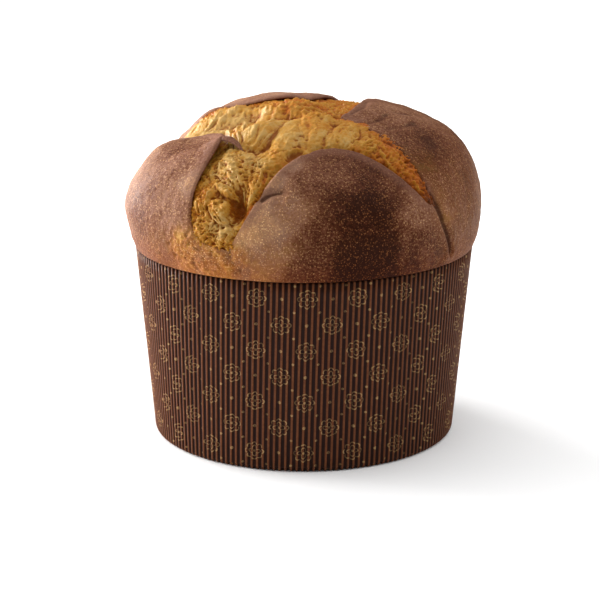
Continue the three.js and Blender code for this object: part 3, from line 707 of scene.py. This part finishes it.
# Browning of the crumb: chart point, radius, toast, grain.
TOAST = [
    (-15, -18, 10, 0.16, 0.12), (-6, -30, 6, 0.08, 0.1), (3, -23, 6, 0.34, 0.2),
    (12, -31, 6, 0.22, 0.3), (-35, -2, 11, 0.02, 0.15), (-60, 4, 12, 0.08, 0.2),
    (-24, -16, 7, 0.22, 0.15), (-10, -42, 9, 0.26, 0.4), (-28, -46, 10, 0.10, 0.8),
    (-22, -58, 7, 0.20, 0.9), (-31, -74, 5, 0.62, 0.9), (-41, -73, 5, 0.10, 0.6),
    (-46, -86, 8, 0.0, 0.8), (-50, -62, 7, 0.42, 0.9), (-58, -84, 8, 0.28, 1.0),
    (-44, -100, 8, 0.36, 1.0), (-35, 12, 6, 0.42, 0.9), (-18, 15, 7, 0.48, 1.0),
    (0, -2, 8, 0.48, 1.0), (10, 8, 9, 0.50, 1.0), (22, -34, 5, 0.36, 0.6),
    (32, -36, 6, 0.54, 0.8), (46, -46, 8, 0.60, 0.8), (66, -58, 9, 0.66, 0.8),
    (18, 40, 14, 0.5, 0.8), (30, 70, 14, 0.5, 0.8),
]
CRUMB_SPECKS = 0.0015                # spacing of the pale specks in metres


def mound(q, at, half_length, half_width, turn):
    """1 at the middle of a turned ellipse and 0 outside: (1 - a a - b b) ^ 0.7, with a and b
    the shares of its half length and half width; returns it with a and b in millimetres."""
    du, dv = q[..., 0] - at[0], q[..., 1] - at[1]
    a = du * cos(radians(turn)) + dv * sin(radians(turn))
    b = dv * cos(radians(turn)) - du * sin(radians(turn))
    m = np.clip(1 - (a / half_length) ** 2 - (b / half_width) ** 2, 0, None) ** 0.7
    return m, a, b


def flat(u, v, w=0.0):
    """Chart values as points of the noise's space."""
    return np.stack(np.broadcast_arrays(u, v, w), -1)


def crumb_height(q):
    """Height of the crumb over the dome: swell, less a step at the edge that fades inward,
    plus the highest fold with its streaks, less the hollows except on the nugget; sunk
    under the closed crust. Returns the height, the distance to the edge, the depth of the
    hollow, the streak and how far the crumb runs level under the crust."""
    phi = around_eye(q)[1]
    d = edge_distance(q)
    fade = np.exp(np.minimum(0, d) / DROP_WIDTH)
    base = -by_azimuth(DROP, phi) * fade - INNER_DROP * (1 - fade)
    u, v = q[..., 0], q[..., 1]
    bent = q
    for far, size, *seeds in BENDS:
        bent = bent + far * np.stack([noise(flat(u, v, seed), size) for seed in seeds], -1)
    fold, streak = np.zeros_like(d), np.zeros_like(d)
    for at, half_length, half_width, turn, height, streaks in FOLDS:
        m, a, b = mound(bent, at, half_length, half_width, turn)
        spread = b / (1 + FAN * np.clip(a, -FAN_END, FAN_END))
        line = sum(share * noise(flat(a / long, spread / wide, seed), 1.0)
                   for (long, wide, share), seed in zip(STREAKS, at))
        streak = np.where(height * m > fold, line * streaks * smooth(0, 0.5, m), streak)
        seam = SEAM_RISE * np.exp(-((fold - height * m) / SEAM_WIDTH) ** 2) * (m > 0)
        fold = np.maximum(fold, height * m) + seam
    hollow = sum(deep * mound(q, at, half_length, half_width, turn)[0] ** 2
                 for at, half_length, half_width, turn, deep in HOLLOWS)
    hollow = hollow * (1 - smooth(0.0, 0.4, mound(q, *NUGGET)[0]))
    folded = fold - hollow + STREAK_HEIGHT * streak
    high = base + folded * smooth(1, -CLOSE_WIDTH, d)
    under = by_azimuth(UNDERCUT, phi)
    closed = smooth(under, under + CLOSE_WIDTH, d)
    return swell(q) + high * (1 - closed) - SINK * closed, d, hollow, streak, under


def blurred(high, cells):
    """Mean over a square of 2 cells + 1 a side, twice over, by running sums."""
    side = 2 * cells + 1
    for axis in (0, 1, 0, 1):
        margin = [(0, 0), (0, 0)]
        margin[axis] = (cells + 1, cells)
        run = np.moveaxis(np.cumsum(np.pad(high, margin, mode="edge"), axis=axis), axis, 0)
        high = np.moveaxis((run[side:] - run[:-side]) / side, 0, axis)
    return high


def strands(p, size, steep):
    """Round ridges with narrow grooves between them: 0.5 - steep * |noise|, the noise held
    at 0.5."""
    return 0.5 - steep * np.minimum(np.abs(noise(p, size)), 0.5)


def build_crumb():
    """Square cells of the chart wherever the crust is open, and a border that runs on
    under it. The grain is two sizes of strands in a bent space, a fine noise and pores of
    1.6 mm. How deep a point lies is how far it is below the mean of its surroundings, near
    and wide, and in the hollow; the material paints shade by it."""
    u, v = np.arange(*CRUMB_U, CRUMB_CELL), np.arange(*CRUMB_V, CRUMB_CELL)
    grid = np.stack(np.meshgrid(u, v, indexing="ij"), -1)
    far, phi = around_eye(grid)
    near = far < edge_radius(phi) + CRUMB_MARGIN
    q = grid[near]
    high, d, hollow, streak, under = crumb_height(q)
    p = place(q, high)
    toast, grain = patches(q, TOAST)
    bent = p + STRAND_BEND * np.stack(
        [noise(p + seed, STRAND_BEND_SIZE) for seed in STRAND_BEND_SEEDS], -1)
    rough = sum(share * strands(bent + seed, size, steep) for share, seed, size, steep in STRANDS)
    rough = rough + 0.35 * noise(p + 90, 0.9)
    hole = smooth(0.3, 0.7, noise(p + 60, 1.6)) * smooth(-0.2, 0.5, noise(p + 20, 8))
    rough = rough * (0.1 + 0.9 * grain) - hole * (0.4 + 0.8 * grain)
    high = high + rough * smooth(5, 2, d)
    grown = by_azimuth(GROWN, phi[near]) * smooth(-9, -2, d)
    toast = toast + 0.12 * noise(p + 10, 6) + 0.2 * smooth(-4, 0, d) * (1 - grown)
    # Painted shade and highlight: grooves between the streaks and pores of the grain are browner,
    # their ridges paler.
    toast = toast - STREAK_SHADE * streak - 0.1 * rough * grain
    field = np.zeros(near.shape)
    field[near] = high
    small = (blurred(field, NEAR_CELLS) - field)[near]
    large = (blurred(field, WIDE_CELLS) - field)[near]
    # Painted shade: how far a point lies below its near and wide surroundings and in the hollow,
    # for the material to brown it.
    deep = np.clip(0.02 + 0.75 * small + 0.15 * large * (1 - grown) + 0.05 * hollow, 0, 1)
    keep = np.zeros(near.shape, bool)
    keep[near] = d < under + CRUMB_BORDER
    cell = keep[:-1, :-1] & keep[1:, :-1] & keep[1:, 1:] & keep[:-1, 1:]
    number = np.cumsum(near).reshape(near.shape) - 1
    quads = np.stack([number[:-1, :-1][cell], number[1:, :-1][cell], number[1:, 1:][cell],
                      number[:-1, 1:][cell]], -1)
    used, new = np.unique(quads, return_inverse=True)
    return new_mesh("crumb", place(q, high)[used], new.reshape(quads.shape), q[used],
                    toast=toast[used], deep=deep[used])


def crumb_material():
    """Soft dough: pale yellow on the crests of the folds, golden to orange brown where it
    is toasted, with brown painted shade in its hollows and pores, and a little light let through."""
    material, tree, surface = new_material("torn crumb")
    grain = shade(tree, "ShaderNodeGroup", {"Spacing": CRUMB_SPECKS}, node_tree=GRAIN)
    cloud = cloud_noise(tree, 260.0, 4.0, 0.6)
    wave = sums(tree, "MULTIPLY_ADD", cloud, 0.6, -0.3)
    toast = sums(tree, "ADD", named(tree, "toast"), wave)
    toast = sums(tree, "MULTIPLY_ADD", grain.outputs["Grain"], 0.5,
                 sums(tree, "ADD", toast, -0.25))
    dough = colours(tree, toast, [
        (0.0, rgb(182, 144, 80)), (1.0, rgb(84, 42, 12)), (0.22, rgb(179, 129, 50)),
        (0.42, rgb(172, 113, 30)), (0.62, rgb(162, 86, 11)), (0.8, rgb(134, 64, 8)),
    ])
    # Painted shade: the dough is browned by how deep a point lies.
    painted_shade = reach(tree, named(tree, "deep"), 0.06, 0.6, 0.0, 0.9)
    dough = blend(tree, painted_shade, dough, rgb(130, 66, 8))
    rough = sums(tree, "ADD", grain.outputs["Grain"], cloud)
    feed(tree, surface, {"Base Color": dough, "Roughness": 0.5, "Specular IOR Level": 0.12,
                         "Subsurface Weight": 0.12, "Subsurface Radius": (1.0, 0.6, 0.25),
                         "Subsurface Scale": 0.0015, "Normal": bumps(tree, rough, 0.6, 0.0006)})
    return material


crumb = build_crumb()
crumb.data.materials.append(crumb_material())
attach(crumb, "root")
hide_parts("loaf")

# Paper mould
# A baking cup of brown paper fluted into narrow ribs and glued to a smooth liner, with a
# small gold print of rosettes and dots; the bread fills it and holds it in shape.
MOULD_HEIGHT, MOULD_RIM_R, MOULD_FOOT_R = 96.5, 85.0, 76.4
MOULD_CORNER, MOULD_WALL = 2.4, 1.4
INNER_NARROW, INNER_DEPTH = 0.3, 4   # how far the inner face narrows and goes down
RIB_COUNT, RIB_DEPTH = 190, 0.7
RIB_FADE_R = 70.0                    # radius on the underside where the ribs end
CREST = (0.2, 0.7)                   # shares of half a pitch over which a crest falls off
LEAN_TURN, LEAN_WAVE = -0.03, 0.106  # lean of the ribs, at the foot, and its swing round it
RIB_COLUMNS, WALL_ROWS, CORNER_ROWS = 10, 18, 6
UNDER_RINGS = (72.0, 70.0, 40.0, 8.0)
# The print, counted in columns round the cup and in millimetres.
PRINT_COLUMNS, PRINT_ROW = 44, 26.2
PRINT_TURN, PRINT_FOOT = 0.14, 10.0
PRINT_SPREAD = 0.96                  # millimetres are counted short, so it is drawn wider
OUTLINE_R, OUTLINE_SWING, OUTLINE_WIDE = 3.5, 1.0, 0.3
PETAL_R, PETAL_SWING, PETAL_WIDE = 0.9, 1.9, 0.24
STROKE_SOFT = 0.12
OUTLINE_BREAK = (0.15, 0.4)          # bare and full ink, by how far the outline swings out
HEART, DOT, SMALL_DOT = (0.75, 0.45), (0.95, 0.6), (0.75, 0.45)    # radii of bare and full ink


def build_mould():
    """Wall r(z) on a straight taper, ribs r - depth * (1 - c) with c a narrow rounded crest
    over the pitch, a quarter round foot, a flat underside and a smooth inner face. Print and
    crests are told to the material on the wall alone."""
    n = RIB_COUNT * RIB_COLUMNS
    rib = np.arange(n) / RIB_COLUMNS
    base = TAU * rib / RIB_COUNT
    off = np.abs(rib - np.round(rib)) * 2
    crest = 1 - smooth(*CREST, off)
    slope = (MOULD_RIM_R - MOULD_FOOT_R) / MOULD_HEIGHT
    taper = atan2(slope, 1)
    corner_r = MOULD_FOOT_R + slope * MOULD_CORNER - MOULD_CORNER / cos(taper)
    rows = [(MOULD_RIM_R - MOULD_WALL - INNER_NARROW, MOULD_HEIGHT - INNER_DEPTH, 0, 0, 0),
            (MOULD_RIM_R - MOULD_WALL, MOULD_HEIGHT, 0, 0, 0)]
    rows += [(MOULD_FOOT_R + slope * z, z, 1, 0, 1)
             for z in np.linspace(MOULD_HEIGHT, MOULD_CORNER + 0.2, WALL_ROWS)]
    rows += [(corner_r + MOULD_CORNER * cos(b), MOULD_CORNER + MOULD_CORNER * sin(b), cos(b),
              sin(b), 1) for b in np.linspace(-taper, -pi / 2, CORNER_ROWS)]
    rows += [(r, 0, 0, -1, max(0, (r - RIB_FADE_R) / (corner_r - RIB_FADE_R)))
             for r in UNDER_RINGS]
    rings = []
    for r, z, nr, nz, ribbed in rows:
        dip = RIB_DEPTH * (1 - crest) * ribbed
        a = base + (1 - z / MOULD_HEIGHT) * (LEAN_TURN + LEAN_WAVE * np.cos(base))
        rings.append(flat((r - nr * dip) * np.cos(a), (r - nr * dip) * np.sin(a), z - nz * dip))
    points = np.array(rings)
    chart = np.stack([np.broadcast_to(rib / RIB_COUNT * PRINT_COLUMNS, points.shape[:2]),
                      points[..., 2]], -1)
    ribbed = np.array([1, 1] + [row[4] for row in rows[2:]])[:, None]
    printed = smooth(0.5, MOULD_CORNER, points[..., 2])
    printed[:2] = 0
    return new_round_mesh("paper_cup", points, chart, turned=True,
                          crest=0.5 + (crest - 0.5) * ribbed, printed=printed)


def print_group():
    """Group of the print on a flat map counted in columns and millimetres: in every column
    a rosette each row pitch, neighbours half a row apart, and dots between them. A rosette
    is an outline r = R + swing * |cos 4a| broken at its dents, four petals
    r = R + swing * |cos 2a| and a heart."""
    tree = bpy.data.node_groups.new("rosette print", "ShaderNodeTree")
    tree.interface.new_socket("Map", in_out="INPUT", socket_type="NodeSocketVector")
    tree.interface.new_socket("Ink", in_out="OUTPUT", socket_type="NodeSocketFloat")
    into, out = tree.nodes.new("NodeGroupInput"), tree.nodes.new("NodeGroupOutput")
    split = shade(tree, "ShaderNodeSeparateXYZ", {0: into.outputs["Map"]})
    u, v = split.outputs[0], split.outputs[1]
    pitch = TAU * MOULD_RIM_R / PRINT_COLUMNS * PRINT_SPREAD
    u = sums(tree, "SUBTRACT", u, PRINT_TURN)
    column = sums(tree, "FLOOR", sums(tree, "ADD", u, 0.5))
    odd = sums(tree, "FLOORED_MODULO", sums(tree, "ADD", column, 1.0), 2.0)
    x = sums(tree, "MULTIPLY", sums(tree, "SUBTRACT", u, column), pitch)
    row = sums(tree, "DIVIDE", sums(tree, "MULTIPLY_ADD", odd, PRINT_ROW / 2,
                                    sums(tree, "SUBTRACT", v, PRINT_FOOT)), PRINT_ROW)
    from_row = sums(tree, "SUBTRACT", row, sums(tree, "ROUND", row))
    y = sums(tree, "MULTIPLY", from_row, PRINT_ROW)

    def length(across, along):
        """Square root of the sum of two squares."""
        square = sums(tree, "MULTIPLY", along, along)
        return sums(tree, "SQRT", sums(tree, "MULTIPLY_ADD", across, across, square))

    r = length(x, y)
    a = sums(tree, "ARCTAN2", y, x)

    def ripple(count):
        """|cos(count * a)| round the heart."""
        return sums(tree, "ABSOLUTE", sums(tree, "COSINE", sums(tree, "MULTIPLY", a, count)))

    def stroke(radius, wide):
        """Ink where the distance from the heart is within the width of a radius."""
        gap = sums(tree, "ABSOLUTE", sums(tree, "SUBTRACT", r, radius))
        return reach(tree, gap, wide + STROKE_SOFT, wide - STROKE_SOFT)

    wave = ripple(4.0)
    outline = sums(tree, "MULTIPLY_ADD", wave, OUTLINE_SWING, OUTLINE_R)
    petals = sums(tree, "MULTIPLY_ADD", ripple(2.0), PETAL_SWING, PETAL_R)
    ring = sums(tree, "MULTIPLY", stroke(outline, OUTLINE_WIDE),
                reach(tree, wave, *OUTLINE_BREAK))
    ink = sums(tree, "MAXIMUM", ring, stroke(petals, PETAL_WIDE))
    half_way = sums(tree, "SUBTRACT", PRINT_ROW / 2, sums(tree, "ABSOLUTE", y))
    side = sums(tree, "SUBTRACT", pitch / 2, sums(tree, "ABSOLUTE", x))
    quarter = sums(tree, "SUBTRACT", sums(tree, "ABSOLUTE", y), PRINT_ROW / 4)
    for far, radii in [(r, HEART), (length(x, half_way), DOT),
                       (length(side, quarter), SMALL_DOT)]:
        ink = sums(tree, "MAXIMUM", ink, reach(tree, far, *radii))
    feed(tree, out, {"Ink": ink})
    return tree


def paper_material():
    """Dark brown paper with a painted highlight on the crests of its ribs and painted shade
    in the valleys, and a rubbed gold print that shows mostly on the crests, dimmed in the
    valleys by painted shade."""
    material, tree, surface = new_material("fluted paper")
    crest = named(tree, "crest")
    fibre = cloud_noise(tree, 700.0, 3.0, 0.6)
    # Painted highlight and shade: the crests of the ribs are lighter, the valleys darker.
    paper = blend(tree, reach(tree, crest, 0.35, 1.0), rgb(33, 12, 5), rgb(110, 63, 36))
    paper = blend(tree, reach(tree, fibre, 0.3, 0.7, 0.0, 0.3), paper, rgb(44, 20, 11))
    chart = shade(tree, "ShaderNodeUVMap", {}, uv_map="chart").outputs["UV"]
    print_node = shade(tree, "ShaderNodeGroup", {"Map": chart}, node_tree=print_group())
    # Painted shade: the print is dimmed in the valleys between the ribs; the fibre noise rubs it
    # away at random.
    print_shade = reach(tree, crest, 0.0, 0.8, 0.25, 0.85)
    wear_and_valley_shade = sums(tree, "MULTIPLY", print_shade, reach(tree, fibre, 0.35, 0.6, 0.55, 1.0))
    ink = sums(tree, "MULTIPLY", print_node.outputs["Ink"], named(tree, "printed"))
    paper = blend(tree, sums(tree, "MULTIPLY", ink, wear_and_valley_shade), paper, rgb(176, 138, 90))
    feed(tree, surface, {"Base Color": paper, "Roughness": 0.5, "Specular IOR Level": 0.1,
                         "Normal": bumps(tree, fibre, 0.2, 0.0002)})
    return material


paper_cup = build_mould()
paper_cup.data.materials.append(paper_material())
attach(paper_cup, "root")
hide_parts("paper_mould")

# Stage
# A plain pale floor, soft studio light from above, low from the left and the back left and
# a little from the right, and the camera.
LIGHTS = [
    # Name, size, power, place, turn in degrees.
    ("top", 6.0, 194, (0, 0.4, 3.2), (0, 0, 0)),
    ("left", 0.7, 22, (-1.5, 0.1, 0.12), (89, 0, -94)),
    ("back left", 1.3, 98, (-1.2, 0.8, 0.1), (89, 0, -124)),
    ("right", 1.0, 6, (1.5, 0.1, 0.7), (68, 0, 92)),
]
STUDIO_GLOW = 0.12
LENS, SENSOR = 122.1, 36
CAMERA_AT, CAMERA_DOWN = (-0.002, -1.0, 0.3425), 15.5
bpy.ops.mesh.primitive_plane_add(size=9, location=(0, 0, 0))
floor = bpy.context.object
floor.name = "floor"
floor_material, floor_tree, floor_surface = new_material("pale floor")
feed(floor_tree, floor_surface, {"Base Color": (0.96, 0.96, 0.96, 1), "Roughness": 0.9,
                                 "Specular IOR Level": 0.0})
floor.data.materials.append(floor_material)

for name, size, power, place_at, turn in LIGHTS:
    light = bpy.data.objects.new(name, bpy.data.lights.new(name, "AREA"))
    light.data.size = size
    light.data.energy = power
    light.location = place_at
    light.rotation_euler = [radians(t) for t in turn]
    bpy.context.scene.collection.objects.link(light)
world = bpy.data.worlds.new("studio")
bpy.context.scene.world = world
world.use_nodes = True
feed(world.node_tree, world.node_tree.nodes["Background"],
     {"Color": (1, 1, 1, 1), "Strength": STUDIO_GLOW})

camera = bpy.data.objects.new("camera", bpy.data.cameras.new("camera"))
camera.data.lens = LENS
camera.data.sensor_width = SENSOR
camera.location = CAMERA_AT
camera.rotation_euler = (radians(90 - CAMERA_DOWN), 0, 0)
bpy.context.scene.collection.objects.link(camera)
bpy.context.scene.camera = camera
bpy.context.scene.view_settings.view_transform = "Standard"
